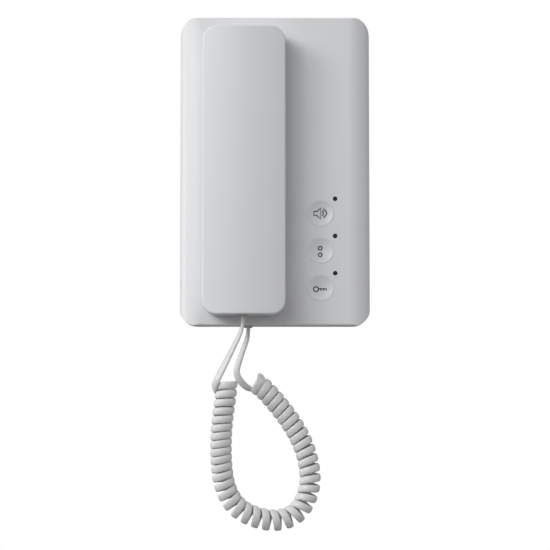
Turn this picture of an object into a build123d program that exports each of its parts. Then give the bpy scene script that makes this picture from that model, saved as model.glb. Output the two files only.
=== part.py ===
from build123d import *
import bisect
import math
import os

import numpy as np

os.makedirs("parts", exist_ok=True)

# Wall audio intercom: a base station with three keys, and a handset on a curly cord.
# Frame: origin at the middle of the base's back face, on the wall. +Z up, +X right,
# and the front of the base looks along -Y. Lengths in millimetres.

# Shared by all cuts and fits
overrun = 1.0
slip = 0.3
pin_slip = 0.05
touch = 0.1

# Base station housing
base_width = 122.0
base_height = 198.0
base_depth = 22.0
base_corner = 11.0
roll_across = 14.0
roll_deep = 13.0
front_edge = 1.3
base_wall = 2.2
wall_relief = 0.4

# Rear tray
tray_thick = 2.2
tray_lip_thick = 1.6
tray_lip_deep = 4.2
cable_width = 44.0
cable_height = 26.0
cable_z = 52.0
cable_corner = 4.0
wall_screw_spacing = 83.5
wall_slot_width = 4.2
wall_slot_length = 7.0
tab_width = 14.0
tab_x = 34.0
tab_y = -4.0
tab_thick = 1.6
tab_reach = 0.8
tab_recess = 1.3

# Handset
handset_x = -19.5
handset_top_margin = 9.25
handset_bottom_margin = 6.25
handset_width = 52.5
handset_depth = 21.8
handset_corner = 9.0
handset_crown = 2.5
handset_edge = 1.1
handset_wall = 2.0
handset_gap = 1.2
inner_shell_deep = 4.0
lip_thick = 1.2
lip_deep = 2.6

# Ear and mouth bosses of the handset, and the pockets of the base that take them
ear_below_top = 33.25
ear_boss = 38.0
mouth_above_bottom = 31.25
mouth_boss_width = 30.0
mouth_boss_height = 22.0
mouth_boss_corner = 7.0
boss_deep = 6.6
boss_wall = 2.0
boss_face_wall = 3.0
boss_edge = 1.2
pocket_clear = 2.0
pocket_floor = 2.0
pocket_deep = 7.4
rest_pad_dia = 6.0
rest_pad_high = 1.1
rest_pad_x = 17.0
rest_pad_below_top = 9.25
rest_pad_above_bottom = 8.25
dish_deep = 1.3
ear_hole = 2.2
ear_hole_ring = 5.2
ear_hole_count = 6
mouth_slot_length = 9.0
mouth_slot_width = 1.5
mouth_slot_pitch = 3.2
mouth_slot_count = 3

# Keys and their windows
key_dia = 16.5
key_side_margin = 31.8
key_z_share = -0.5172
key_pitch_share = 0.2404
key_count = 3
key_clear = 0.2
key_thick = 2.4
key_dish = 1.15
key_rim = 0.5
key_flange = 1.1
key_flange_width = 1.3
key_stem = 4.6
key_travel = 0.5
window_dia = 2.9
window_flange = 0.8
window_flange_thick = 0.9
window_x = 9.2
window_z = 9.3
window_proud = 0.05

# Circuit board and what stands on it
board_thick = 1.6
board_y = -8.0
board_handset_gap = 1.25
board_side_margin = 7.0
board_bottom_margin = 17.0
board_top_share = 0.303
board_corner = 2.0
post_dia = 6.4
post_inset = 4.5
board_screw_dia = 2.6
board_screw_head = 5.0
board_screw_head_thick = 1.8
switch_side = 6.2
switch_high = 3.4
switch_cap_dia = 3.5
led_side = 3.0
led_high = 1.5
terminal_width = 33.0
terminal_deep = 9.0
terminal_front_gap = 0.9
terminal_ways = 6
terminal_hole = 3.2
terminal_hole_deep = 5.0
terminal_top_gap = 2.5

# Ringer behind its slots, hidden by the handset when it rests: its size and place are
# shares of the room between the mouth's pocket and the lever's switch
ringer_dia_share = 0.5
ringer_z_share = 0.5786
ringer_thick = 5.2
ringer_magnet = 14.0
ringer_magnet_thick = 3.0
ringer_ring_wall = 1.5
ringer_ring_high = 4.0
ringer_slot_length = 16.0
ringer_slot_width = 1.6
ringer_slot_pitch = 3.4
ringer_slot_count = 5

# Cradle magnets, two in the base and two in the handset
magnet_dia = 12.0
magnet_thick = 3.0
magnet_offset = 16.0
magnet_above_hook = 2.0
magnet_cup_wall = 1.3

# Hook lever that the resting handset presses, its pin and its switch
hook_arm = 10.5
hook_width = 5.0
hook_nose = 7.0
hook_thick = 2.4
hook_gap = 0.3
hook_tub_gap = 3.9
hook_pivot_deep = 4.6
hook_pin_dia = 2.4
hook_hub = 5.6
hook_slot_clear = 1.3
hook_ear_thick = 2.0
hook_ear_gap = 0.3
hook_switch_width = 6.4
hook_switch_height = 12.8
hook_switch_deep = 5.8
hook_plunger_dia = 2.0
hook_plunger_proud = 0.8

# Screws of the cover and of the handset
cover_screw_margin = 16.0
cover_screw_y = -7.0
cover_screw_dia = 3.0
cover_screw_head = 5.4
cover_screw_head_thick = 1.6
cover_screw_length = 9.0
cover_boss_width = 9.0
cover_boss_high = 11.0
ear_screw_gap = 25.5
mouth_screw_gap = 15.5
handset_screw_dia = 2.9
handset_screw_head = 5.4
handset_screw_head_thick = 1.1
handset_screw_length = 11.0
handset_post_dia = 7.0

# Handset contents
capsule_dia = 30.0
capsule_thick = 6.4
capsule_rim = 1.4
gasket_thick = 0.9
gasket_width = 3.0
mic_dia = 9.7
mic_thick = 4.5
boot_wall = 1.5
boot_thick = 6.0
weight_width = 30.0
weight_magnet_gap = 9.5
weight_mouth_gap = 22.0
weight_thick = 5.0
weight_corner = 3.0
weight_rib = 1.2
handset_board_width = 26.0
handset_board_height = 20.0
handset_board_thick = 1.2
handset_board_gap = 1.3

# Modular jacks and plugs
plug_width = 6.0
plug_deep = 7.6
plug_length = 12.0
plug_neck_width = 5.2
plug_neck_deep = 6.2
plug_proud = 1.2
plug_clear = 0.2
latch_width = 3.2
latch_thick = 0.9
latch_length = 8.0
jack_wall = 2.2
jack_length = 15.0
jack_seat_height = 8.6
jack_front_gap = 0.6
base_plug_x = -17.0
handset_plug_x = -20.0
handset_plug_deep = 10.8

# Curly cord: wire, outer diameter of the turns and the points of the coil's axis.
# Heights of its points are given from the lower edge of the base
cord_dia = 4.2
coil_dia = 13.5
coil_turns = 38
coil_sides = 6
first_turn_at = 4.9
last_turn_before = 5.0
end_pitch = 5.3
end_reach = 5.0
end_turn = 0.25
turn_step = 0.5
pitch_shares = [1.03, 1.0, 0.94, 0.93, 1.04, 1.14, 1.24, 1.25, 1.17, 1.12, 1.05, 1.0, 1.0, 1.0]
axis_route = [
    (-29.6, -33.0, -33.4), (-30.7, -33.5, -45.0), (-32.8, -33.5, -58.3),
    (-33.8, -33.0, -72.8), (-33.6, -32.0, -87.2), (-31.6, -30.5, -101.7),
    (-25.0, -28.5, -114.0), (-13.2, -26.0, -120.9), (2.0, -23.0, -124.0),
    (15.2, -20.0, -118.5), (22.2, -17.5, -104.6), (22.5, -16.0, -90.9),
    (18.3, -15.0, -75.1), (10.3, -14.5, -60.9), (0.9, -14.5, -48.8),
    (-8.4, -15.0, -37.9), (-14.0, -15.0, -31.9),
]
# From the handset's lead in to the first turn, and from the last turn out to the base's lead
start_tail = [
    (-34.4, -36.4, -29.6), (-38.9, -38.4, -37.9), (-40.8, -33.6, -44.0),
    (-37.6, -24.2, -43.8), (-28.2, -22.6, -39.8),
]
end_tail = [
    (-9.6, -4.9, -35.2), (-10.6, -5.6, -44.0), (-16.5, -9.5, -46.0),
    (-21.8, -12.5, -40.0), (-25.3, -12.9, -30.7), (-24.2, -13.0, -27.2),
]
handset_lead_drop = 7.25
handset_lead_last_run = 13.0
base_lead_drop = 5.6
base_lead_last_run = 7.5
corner_share = 0.45
straight_angle = 1e-4
sample_spacing = 0.35
spline_samples = 40
self_gap_reach = 3.0

# Depths worked out from the sizes above
cover_front = -base_depth
cover_inner = -base_depth + base_wall
handset_back = cover_front - handset_gap
handset_front = handset_back - handset_depth
part_line = handset_back - inner_shell_deep
inner_face = handset_back - handset_wall
boss_face = handset_back + boss_deep
board_front = board_y - board_thick
pocket_back = cover_front + pocket_deep
hook_pivot_y = cover_inner + hook_pivot_deep
terminal_front = cover_inner + terminal_front_gap
handset_plug_y = handset_back - handset_plug_deep

# Places on the base, the handset between its margins
half_height = base_height / 2
base_bottom = -half_height
handset_height = base_height - handset_top_margin - handset_bottom_margin
handset_z = (handset_bottom_margin - handset_top_margin) / 2
handset_top = handset_z + handset_height / 2
handset_bottom = handset_z - handset_height / 2
ear_place = handset_top - ear_below_top
mouth_place = handset_bottom + mouth_above_bottom
cover_screw_x = base_width / 2 - cover_screw_margin
key_x = base_width / 2 - key_side_margin
key_places = [(key_z_share + (1 - i) * key_pitch_share) * half_height for i in range(key_count)]
board_left = handset_x + handset_width / 2 + board_handset_gap
board_right = base_width / 2 - board_side_margin
board_low = base_bottom + board_bottom_margin
board_top = board_top_share * half_height
board_x = (board_left + board_right) / 2
board_z = (board_low + board_top) / 2
board_width = board_right - board_left
board_height = board_top - board_low


def plate(sketch, back, front):
    """A sketch drawn as seen from the front, run from one depth to a nearer one."""
    return extrude(Plane.XZ.offset(-back) * sketch, amount=back - front)


def disc(dia, x, z, back, front):
    return plate(Pos(x, z) * Circle(dia / 2), back, front)


def ring(outer, inner, x, z, back, front):
    return plate(Pos(x, z) * (Circle(outer / 2) - Circle(inner / 2)), back, front)


def block(width, height, x, z, back, front, corner=0.0):
    """A rectangle seen from the front, sharp or with rounded corners."""
    face = RectangleRounded(width, height, corner) if corner else Rectangle(width, height)
    return plate(Pos(x, z) * face, back, front)


def front_edges(solid, front):
    """The edges that lie in the foremost plane of a solid."""
    return [e for e in solid.edges() if abs(e.center().Y - front) < touch]


def rolled_form(inset):
    """The base housing's form, or the hollow inside it when inset by the wall."""
    half = base_width / 2 - inset
    depth = base_depth - inset
    across = roll_across - inset
    deep = roll_deep - inset
    turn = depth - deep
    profile = Line((-half, 0), (half, 0))
    profile += Line((half, 0), (half, -turn))
    profile += EllipticalCenterArc((half - across, -turn), across, deep, start_angle=-90, arc_size=90)
    profile += Line((half - across, -depth), (across - half, -depth))
    profile += EllipticalCenterArc((across - half, -turn), across, deep, start_angle=180, arc_size=90)
    profile += Line((-half, -turn), (-half, 0))
    height = base_height - 2 * inset
    bar = extrude(make_face(Plane.XY * profile), amount=height / 2, both=True)
    outline = block(2 * half, height, 0, 0, 0, -depth, base_corner - inset)
    if inset == 0:
        outline = fillet(front_edges(outline, -depth), front_edge)
    return bar & outline


# The bosses stand on the lower edge of their pockets
pocket_lift = pocket_clear - touch
ear_pocket_z = ear_place + pocket_lift
mouth_pocket_z = mouth_place + pocket_lift
pocket_dia = ear_boss + 2 * pocket_clear
mouth_pocket_width = mouth_boss_width + 2 * pocket_clear
mouth_pocket_height = mouth_boss_height + 2 * pocket_clear
mouth_pocket_corner = mouth_boss_corner + pocket_clear
# Below the ear's pocket come the lever, the magnets beside it, and the ringer
hook_pivot_z = ear_pocket_z - pocket_dia / 2 - base_wall - hook_tub_gap - hook_hub / 2
hook_z = hook_pivot_z - hook_arm
magnet_z = hook_z + magnet_above_hook
magnet_places = [handset_x - magnet_offset, handset_x + magnet_offset]
ringer_room_low = mouth_pocket_z + mouth_pocket_height / 2 + base_wall
ringer_room = hook_z - hook_switch_height / 2 - ringer_room_low
ringer_dia = ringer_dia_share * ringer_room
ringer_z = ringer_room_low + ringer_z_share * ringer_room
# In the handset the screws stand off from the bosses, and the weight lies between
handset_screw_places = [ear_place - ear_screw_gap, mouth_place + mouth_screw_gap]
weight_top = magnet_z - magnet_dia / 2 - weight_magnet_gap
weight_low = mouth_place + weight_mouth_gap
weight_z = (weight_top + weight_low) / 2
weight_height = weight_top - weight_low
rest_pad_places = [
    (handset_x + side * rest_pad_x, z)
    for side in (-1, 1)
    for z in (handset_top - rest_pad_below_top, handset_bottom + rest_pad_above_bottom)
]
pad_top = base_bottom + 2 * base_wall
cover_screw_tip = base_bottom + touch + cover_screw_head_thick + cover_screw_length
socket_width = plug_width + 2 * plug_clear
socket_deep = plug_deep + 2 * plug_clear
jack_width = socket_width + 2 * jack_wall
jack_deep = socket_deep + 2 * jack_wall
base_plug_y = cover_inner + jack_front_gap + jack_deep / 2


def ladder(count, pitch):
    """Even places about zero."""
    return [(i - (count - 1) / 2) * pitch for i in range(count)]


def socket(x, y, low, high):
    """The space that a modular plug and its latch take in a wall or a jack."""
    hole = Pos(x, y, (low + high) / 2) * Box(socket_width, socket_deep, high - low)
    latch_deep = latch_thick + plug_clear
    latch_y = y + socket_deep / 2 + latch_deep / 2 - touch
    keyway = Pos(x, latch_y, (low + high) / 2) * Box(
        latch_width + 2 * plug_clear, latch_deep + touch, high - low)
    return hole + keyway


def make_front_cover():
    cover = rolled_form(0) - rolled_form(base_wall)
    cover -= block(base_width + overrun, base_height + overrun, 0, 0, overrun, -wall_relief)
    # Tubs of the two cradle pockets, stood on the inside of the front
    tub_back = pocket_back + pocket_floor
    root = cover_inner - base_wall / 2
    cover += disc(pocket_dia + 2 * base_wall, handset_x, ear_pocket_z, tub_back, root)
    cover += block(mouth_pocket_width + 2 * base_wall, mouth_pocket_height + 2 * base_wall,
                   handset_x, mouth_pocket_z, tub_back, root, mouth_pocket_corner + base_wall)
    ear_pocket = disc(pocket_dia, handset_x, ear_pocket_z, pocket_back, cover_front - overrun)
    mouth_pocket = block(mouth_pocket_width, mouth_pocket_height, handset_x, mouth_pocket_z,
                         pocket_back, cover_front - overrun, mouth_pocket_corner)
    cover -= ear_pocket + mouth_pocket
    # Ringer ring, magnet cups and the lever's two ears
    cover += ring(ringer_dia + slip + 2 * ringer_ring_wall, ringer_dia + slip, handset_x, ringer_z,
                  cover_inner + ringer_ring_high, root)
    for x in magnet_places:
        cover += disc(magnet_dia + slip + 2 * magnet_cup_wall, x, magnet_z,
                      cover_inner + magnet_thick, root)
        cover -= disc(magnet_dia + slip, x, magnet_z, cover_inner + magnet_thick + overrun, cover_inner)
    ear_x = hook_width / 2 + hook_ear_gap + hook_ear_thick / 2
    for side in (-1, 1):
        cover += block(hook_ear_thick, hook_hub, handset_x + side * ear_x, hook_pivot_z,
                       hook_pivot_y + hook_hub / 2, root)
    pin_hole = Plane.YZ * Pos(hook_pivot_y, hook_pivot_z) * Circle(hook_pin_dia / 2 + pin_slip)
    cover -= Pos(handset_x, 0, 0) * extrude(pin_hole, amount=hook_width + hook_ear_thick, both=True)
    # Openings in the front: keys, windows, ringer slots and the lever's nose
    for z in key_places:
        cover -= disc(key_dia + 2 * key_clear, key_x, z, cover_inner + overrun, cover_front - overrun)
        cover -= disc(window_dia + 2 * pin_slip, key_x + window_x, z + window_z,
                      cover_inner + overrun, cover_front - overrun)
    for dz in ladder(ringer_slot_count, ringer_slot_pitch):
        slot = Pos(handset_x, ringer_z + dz) * SlotOverall(ringer_slot_length, ringer_slot_width)
        cover -= plate(slot, cover_inner + overrun, cover_front - overrun)
    cover -= block(hook_width + hook_slot_clear, hook_nose + 2 * hook_slot_clear, handset_x, hook_z,
                   cover_inner + overrun, cover_front - overrun)
    # Bottom wall: way in for the plug, pads and recessed holes for the two screws
    cover -= socket(base_plug_x, base_plug_y, base_bottom - overrun, base_bottom + base_wall + overrun)
    for side in (-1, 1):
        x = side * cover_screw_x
        pad_low = base_bottom + base_wall / 2
        cover += Pos(x, cover_screw_y, (pad_low + pad_top) / 2) * Box(
            cover_boss_width, cover_boss_width, pad_top - pad_low)
        cover -= Pos(x, cover_screw_y, base_bottom) * Cylinder(
            cover_screw_dia / 2 + pin_slip, 2 * (pad_top - base_bottom) + overrun)
        deep = cover_screw_head_thick + touch + pin_slip
        cover -= Pos(x, cover_screw_y, base_bottom) * Cylinder(cover_screw_head / 2 + slip, 2 * deep)
    # Blind recesses of the top wall, where the tray's two tabs catch
    inner_top = base_height / 2 - base_wall
    for side in (-1, 1):
        cover -= Pos(side * tab_x, tab_y, inner_top) * Box(
            tab_width + 2 * slip, tab_thick + 2 * touch, 2 * tab_recess)
    return cover


def make_rear_tray():
    width = base_width - 2 * base_wall - 2 * slip
    height = base_height - 2 * base_wall - 2 * slip
    corner = base_corner - base_wall - slip
    tray = block(width, height, 0, 0, 0, -tray_thick, corner)
    lip_front = -tray_thick - tray_lip_deep
    rim = block(width, height, 0, 0, -tray_thick / 2, lip_front, corner)
    rim -= block(width - 2 * tray_lip_thick, height - 2 * tray_lip_thick, 0, 0,
                 overrun, lip_front - overrun, corner - tray_lip_thick)
    # The rim stops short of the cover's screw pads and of the jack
    for side in (-1, 1):
        rim -= block(cover_boss_width + 2 * overrun, 2 * (pad_top + touch - base_bottom),
                     side * cover_screw_x, base_bottom, -tray_thick, lip_front - overrun)
    jack_back = base_plug_y + jack_deep / 2
    rim -= block(jack_width + 2 * slip, jack_length, base_plug_x, base_bottom,
                 jack_back + slip, lip_front - overrun - jack_deep)
    tray += rim
    # Tabs that catch the top wall of the cover
    tab_root = height / 2 - tray_lip_thick / 2
    tab_end = base_height / 2 - base_wall + tab_reach
    for side in (-1, 1):
        tray += Pos(side * tab_x, tab_y, (tab_root + tab_end) / 2) * Box(
            tab_width, tab_thick, tab_end - tab_root)
    # Way in for the wires, and the slots for the wall box's two screws
    tray -= block(cable_width, cable_height, 0, cable_z, overrun, -tray_thick - overrun, cable_corner)
    for side in (-1, 1):
        slot = Pos(side * wall_screw_spacing / 2, cable_z) * SlotOverall(wall_slot_length, wall_slot_width)
        tray -= plate(slot, overrun, -tray_thick - overrun)
    # Posts of the board, seats of the jack and the lever's switch, bosses of the cover's screws
    for x, z in board_posts:
        tray += disc(post_dia, x, z, -tray_thick / 2, board_y + touch)
    for x, z in board_posts:
        tray -= disc(board_screw_dia + 2 * pin_slip, x, z, -tray_thick, board_y - overrun)
    jack_seat_z = base_bottom + base_wall + jack_length / 2 + tray_lip_thick
    tray += block(plug_width, jack_seat_height, base_plug_x, jack_seat_z,
                  -tray_thick / 2, jack_back + touch)
    tray += block(hook_switch_width - 2 * slip, hook_switch_height - 2 * slip, handset_x, hook_z,
                  -tray_thick / 2, hook_switch_back + touch)
    low = pad_top + touch
    for side in (-1, 1):
        x = side * cover_screw_x
        tray += block(cover_boss_width, cover_boss_high, x, low + cover_boss_high / 2,
                      -tray_thick / 2, cover_screw_y - cover_boss_width / 2)
        tray -= Pos(x, cover_screw_y, low) * Cylinder(
            cover_screw_dia / 2 + pin_slip, 2 * (cover_screw_tip + slip - low))
    return tray


board_posts = [
    (board_x + sx * (board_width / 2 - post_inset), board_z + sz * (board_height / 2 - post_inset))
    for sx in (-1, 1)
    for sz in (-1, 1)
]
hook_arm_back = hook_pivot_y
hook_plunger_front = hook_arm_back + touch
hook_switch_front = hook_plunger_front + hook_plunger_proud
hook_switch_back = hook_switch_front + hook_switch_deep


def make_main_board():
    board = block(board_width, board_height, board_x, board_z, board_y, board_front, board_corner)
    for x, z in board_posts:
        board -= disc(board_screw_dia + 2 * pin_slip, x, z, board_y + overrun, board_front - overrun)
    return board


def make_board_screws():
    screws = []
    for x, z in board_posts:
        head_back = board_front - touch
        screw = disc(board_screw_head, x, z, head_back, head_back - board_screw_head_thick)
        screw += disc(board_screw_dia, x, z, -tray_thick - overrun, head_back - touch)
        screws.append(screw)
    return Compound(children=screws)


def make_terminal_block():
    back = board_front - touch
    z = board_top - post_inset - board_screw_head - terminal_top_gap
    row = block(terminal_width, terminal_deep, board_x, z, back, terminal_front)
    pitch = terminal_width / terminal_ways
    for dx in ladder(terminal_ways, pitch):
        row -= disc(terminal_hole, board_x + dx, z, terminal_front + terminal_hole_deep,
                    terminal_front - overrun)
        entry = Pos(board_x + dx, back - (back - terminal_front) / 4, z + terminal_deep / 2)
        row -= entry * Box(terminal_hole, terminal_hole, terminal_deep / 2)
    return row


def make_tact_switch(z):
    back = board_front - touch
    body = block(switch_side, switch_side, key_x, z, back, back - switch_high)
    return body + disc(switch_cap_dia, key_x, z, back - switch_high, switch_front)


switch_front = board_front - touch - switch_high - key_travel - slip


def make_leds():
    back = board_front - touch
    return Compound(children=[
        block(led_side, led_side, key_x + window_x, z + window_z, back, back - led_high)
        for z in key_places
    ])


def make_window(z):
    x = key_x + window_x
    rod = disc(window_dia, x, z + window_z, board_front - 2 * touch - led_high - slip,
               cover_front - window_proud)
    flange_front = cover_inner + touch
    return rod + disc(window_dia + 2 * window_flange, x, z + window_z,
                      flange_front + window_flange_thick, flange_front)


def make_key(z):
    """A key with a dished face, a flange behind the cover and a stem to its switch."""
    face = cover_front - touch
    flange_front = cover_inner + touch
    flange_back = flange_front + key_flange
    key = disc(key_dia, key_x, z, flange_back, face)
    key += disc(key_dia + 2 * key_flange_width, key_x, z, flange_back, flange_front)
    key -= disc(key_dia - 2 * key_flange_width, key_x, z, flange_back + overrun, face + key_thick)
    key += disc(key_stem, key_x, z, switch_front - key_travel - touch, face + key_thick / 2)
    rim = key_dia / 2 - key_rim
    ball = (rim ** 2 + key_dish ** 2) / (2 * key_dish)
    return key - Pos(key_x, face + key_dish - ball, z) * Sphere(ball)


def make_ringer():
    front = cover_inner + touch
    back = front + ringer_thick
    ringer = disc(ringer_dia, handset_x, ringer_z, back, front)
    return ringer + disc(ringer_magnet, handset_x, ringer_z, back + ringer_magnet_thick, back)


def make_magnets(back):
    return Compound(children=[
        disc(magnet_dia, x, magnet_z, back, back - magnet_thick) for x in magnet_places
    ])


def make_hook_lever():
    hub = Plane.YZ * Pos(hook_pivot_y, hook_pivot_z) * Circle(hook_hub / 2)
    lever = Pos(handset_x, 0, 0) * extrude(hub, amount=hook_width / 2, both=True)
    low = hook_z - hook_nose / 2
    arm_height = hook_pivot_z - low
    lever += block(hook_width, arm_height, handset_x, low + arm_height / 2,
                   hook_arm_back, hook_arm_back - hook_thick)
    nose = block(hook_width, hook_nose, handset_x, hook_z, hook_arm_back, handset_back + hook_gap)
    across = nose.edges().filter_by(Axis.X)
    tip = [e for e in across if abs(e.center().Y - handset_back - hook_gap) < touch]
    lever += fillet(tip, hook_thick / 2)
    bore = Plane.YZ * Pos(hook_pivot_y, hook_pivot_z) * Circle(hook_pin_dia / 2 + pin_slip)
    return lever - Pos(handset_x, 0, 0) * extrude(bore, amount=hook_width, both=True)


def make_hook_pin():
    section = Plane.YZ * Pos(hook_pivot_y, hook_pivot_z) * Circle(hook_pin_dia / 2)
    reach = hook_width / 2 + hook_ear_gap + hook_ear_thick
    return Pos(handset_x, 0, 0) * extrude(section, amount=reach, both=True)


def make_hook_switch():
    body = block(hook_switch_width, hook_switch_height, handset_x, hook_z,
                 hook_switch_back, hook_switch_front)
    return body + disc(hook_plunger_dia, handset_x, hook_z, hook_switch_front, hook_plunger_front)


def make_jack(x, y, low):
    """A jack block whose mouth is its lower end."""
    body = Pos(x, y, low + jack_length / 2) * Box(jack_width, jack_deep, jack_length)
    return body - socket(x, y, low - overrun, low + plug_length)


def make_plug(x, y, housing_bottom, wall):
    """A clear modular plug: body in the jack, narrower neck where the cord comes out."""
    face = housing_bottom - plug_proud
    body_low = housing_bottom + wall / 2
    body_top = housing_bottom + wall + plug_length - slip
    plug = Pos(x, y, (body_low + body_top) / 2) * Box(plug_width, plug_deep, body_top - body_low)
    plug += Pos(x, y, (face + body_low) / 2) * Box(plug_neck_width, plug_neck_deep, body_low - face)
    latch_y = y + plug_deep / 2 + latch_thick / 2
    plug += Pos(x, latch_y, body_top - latch_length / 2) * Box(latch_width, latch_thick, latch_length)
    return plug


def make_cover_screws():
    screws = []
    for side in (-1, 1):
        x = side * cover_screw_x
        low = base_bottom + touch
        top = low + cover_screw_head_thick
        screw = Pos(x, cover_screw_y, (low + top) / 2) * Cylinder(cover_screw_head / 2, top - low)
        screw += Pos(x, cover_screw_y, top + cover_screw_length / 2) * Cylinder(
            cover_screw_dia / 2, cover_screw_length)
        screws.append(screw)
    return Compound(children=screws)


def crowned_form(inset, back):
    """The handset's front shell, or its hollow when inset by the wall."""
    form = block(handset_width - 2 * inset, handset_height - 2 * inset, handset_x, handset_z,
                 back, handset_front - overrun, handset_corner - inset)
    half = handset_width / 2
    crown = (half ** 2 + handset_crown ** 2) / (2 * handset_crown)
    barrel = Pos(handset_x, handset_front + crown, handset_z) * Cylinder(crown - inset, handset_height)
    form &= barrel
    if inset == 0:
        rim = [e for e in form.edges() if e.center().Y < handset_front + handset_crown + touch]
        form = fillet(rim, handset_edge)
    return form


def make_handset_front():
    shell = crowned_form(0, part_line)
    shell -= crowned_form(handset_wall, part_line + overrun)
    for z in handset_screw_places:
        post = disc(handset_post_dia, handset_x, z, inner_face - touch, handset_front + handset_wall / 2)
        post -= disc(handset_screw_dia + 2 * pin_slip, handset_x, z, handset_back,
                     inner_face - handset_screw_length - overrun)
        shell += post
    return shell - socket(handset_plug_x, handset_plug_y, handset_bottom - overrun,
                          handset_bottom + handset_wall + overrun)


def make_handset_inner():
    shell = block(handset_width, handset_height, handset_x, handset_z,
                  handset_back, part_line, handset_corner)
    rim = [e for e in shell.edges() if abs(e.center().Y - handset_back) < touch]
    shell = fillet(rim, handset_edge)
    inset = handset_wall + slip
    shell += block(handset_width - 2 * inset, handset_height - 2 * inset, handset_x, handset_z,
                   part_line + touch, part_line - lip_deep, handset_corner - inset)
    hollow = inset + lip_thick
    shell -= block(handset_width - 2 * hollow, handset_height - 2 * hollow, handset_x, handset_z,
                   inner_face, part_line - lip_deep - overrun, handset_corner - hollow)
    # The lip stops short of the jack
    shell -= block(jack_width + 2 * slip, 2 * (hollow + slip), handset_plug_x, handset_bottom,
                   part_line, part_line - lip_deep - overrun)
    # Pads that rest on the base
    for x, z in rest_pad_places:
        shell += disc(rest_pad_dia, x, z, handset_back + rest_pad_high, handset_back - handset_wall / 2)
    # Bosses that drop into the cradle pockets, hollow towards the inside of the handset
    ear = disc(ear_boss, handset_x, ear_place, boss_face, inner_face)
    ear = fillet([e for e in ear.edges() if abs(e.center().Y - boss_face) < touch], boss_edge)
    mouth = block(mouth_boss_width, mouth_boss_height, handset_x, mouth_place, boss_face, inner_face,
                  mouth_boss_corner)
    mouth = fillet([e for e in mouth.edges() if abs(e.center().Y - boss_face) < touch], boss_edge)
    shell += ear
    shell += mouth
    floor = boss_face - boss_face_wall
    shell -= disc(ear_boss - 2 * boss_wall, handset_x, ear_place, floor, inner_face - overrun)
    shell -= block(mouth_boss_width - 2 * boss_wall, mouth_boss_height - 2 * boss_wall, handset_x,
                   mouth_place, floor, inner_face - overrun, mouth_boss_corner - boss_wall)
    # Dished ear face with its holes, and the mouth's slots
    rim = ear_boss / 2 - boss_wall
    ball = (rim ** 2 + dish_deep ** 2) / (2 * dish_deep)
    shell -= Pos(handset_x, boss_face - dish_deep + ball, ear_place) * Sphere(ball)
    shell -= disc(ear_hole, handset_x, ear_place, boss_face + overrun, floor - overrun)
    for i in range(ear_hole_count):
        turn = 2 * math.pi * i / ear_hole_count
        shell -= disc(ear_hole, handset_x + ear_hole_ring * math.cos(turn),
                      ear_place + ear_hole_ring * math.sin(turn), boss_face + overrun, floor - overrun)
    for dz in ladder(mouth_slot_count, mouth_slot_pitch):
        slot = Pos(handset_x, mouth_place + dz) * SlotOverall(mouth_slot_length, mouth_slot_width)
        shell -= plate(slot, boss_face + overrun, floor - overrun)
    # Seats of the weight, the magnets and the small board
    seat = weight_rib + slip
    fence = block(weight_width + 2 * seat, weight_height + 2 * seat, handset_x, weight_z,
                  inner_face + touch, part_line, weight_corner + seat)
    fence -= block(weight_width + 2 * slip, weight_height + 2 * slip, handset_x, weight_z,
                   overrun, part_line - overrun, weight_corner + slip)
    shell += fence
    for x in magnet_places:
        shell += ring(magnet_dia + slip + 2 * magnet_cup_wall, magnet_dia + slip, x, magnet_z,
                      inner_face + touch, part_line)
    for sx in (-1, 1):
        for sz in (-1, 1):
            x = handset_plug_x + sx * (handset_board_width / 2 - board_screw_dia)
            z = handset_board_z + sz * (handset_board_height / 2 - board_screw_dia)
            shell += disc(board_screw_dia, x, z, inner_face + touch, inner_face - handset_board_gap + touch)
    for z in handset_screw_places:
        shell -= disc(handset_screw_dia + 2 * pin_slip, handset_x, z, handset_back + overrun,
                      inner_face - overrun)
        shell -= disc(handset_screw_head + slip, handset_x, z, handset_back + overrun,
                      handset_back - handset_screw_head_thick - touch)
    return shell


handset_board_z = handset_bottom + handset_wall + slip + lip_thick + slip + handset_board_height / 2


def make_handset_screws():
    screws = []
    for z in handset_screw_places:
        head_back = handset_back
        head_front = head_back - handset_screw_head_thick
        screw = disc(handset_screw_head, handset_x, z, head_back, head_front)
        screws.append(screw + disc(handset_screw_dia, handset_x, z, head_front,
                                   head_front - handset_screw_length))
    return Compound(children=screws)


gasket_back = boss_face - boss_face_wall - touch
capsule_back = gasket_back - gasket_thick - touch


def make_earpiece():
    step = capsule_thick / 2
    body = disc(capsule_dia, handset_x, ear_place, capsule_back, capsule_back - step)
    return body + disc(capsule_dia - 2 * capsule_rim, handset_x, ear_place, capsule_back - step,
                       capsule_back - capsule_thick)


def make_ear_gasket():
    return ring(capsule_dia, capsule_dia - 2 * gasket_width, handset_x, ear_place,
                gasket_back, gasket_back - gasket_thick)


def make_mic_boot():
    back = boss_face - boss_face_wall - touch
    boot = disc(mic_dia + 2 * boot_wall, handset_x, mouth_place, back, back - boot_thick)
    return boot - disc(mic_dia + 2 * pin_slip, handset_x, mouth_place, back + overrun,
                       back - mic_thick - 2 * touch)


def make_mic():
    back = boss_face - boss_face_wall - 2 * touch
    return disc(mic_dia, handset_x, mouth_place, back, back - mic_thick)


def make_weight():
    back = inner_face - touch
    return block(weight_width, weight_height, handset_x, weight_z, back, back - weight_thick, weight_corner)


def make_handset_board():
    back = inner_face - handset_board_gap
    return block(handset_board_width, handset_board_height, handset_plug_x, handset_board_z,
                 back, back - handset_board_thick, board_corner)


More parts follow.
